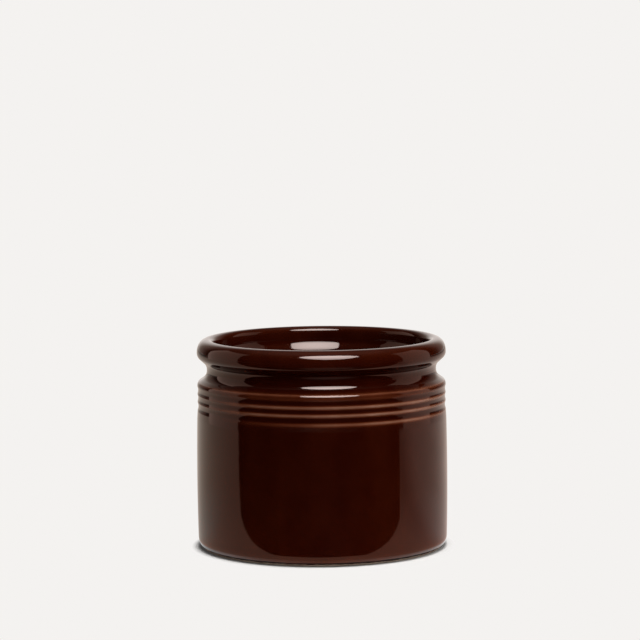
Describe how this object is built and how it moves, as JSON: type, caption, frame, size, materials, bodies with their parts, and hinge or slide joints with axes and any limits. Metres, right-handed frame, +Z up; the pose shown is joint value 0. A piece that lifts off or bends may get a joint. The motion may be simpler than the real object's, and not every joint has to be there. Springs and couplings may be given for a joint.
{
  "type": "storage jar",
  "caption": "Open round storage jar of brown glazed stoneware, with a rolled rim, a narrow neck and turned grooves under its shoulder.",
  "frame": {"origin": "centre of the foot ring, on the surface the jar stands on", "axes": "+Z up along the jar's axis of turning; the jar is round, so +X and +Y are free, and -Y is the side shown in front"},
  "size_m": [0.12, 0.12, 0.1],
  "materials": {
    "glazed_stoneware": "glossy dark brown glaze that breaks to a lighter red-brown on edges, with a bare clay foot ring"
  },
  "bodies": {
    "root": {"jar": "glazed_stoneware"}
  },
  "joints": []
}
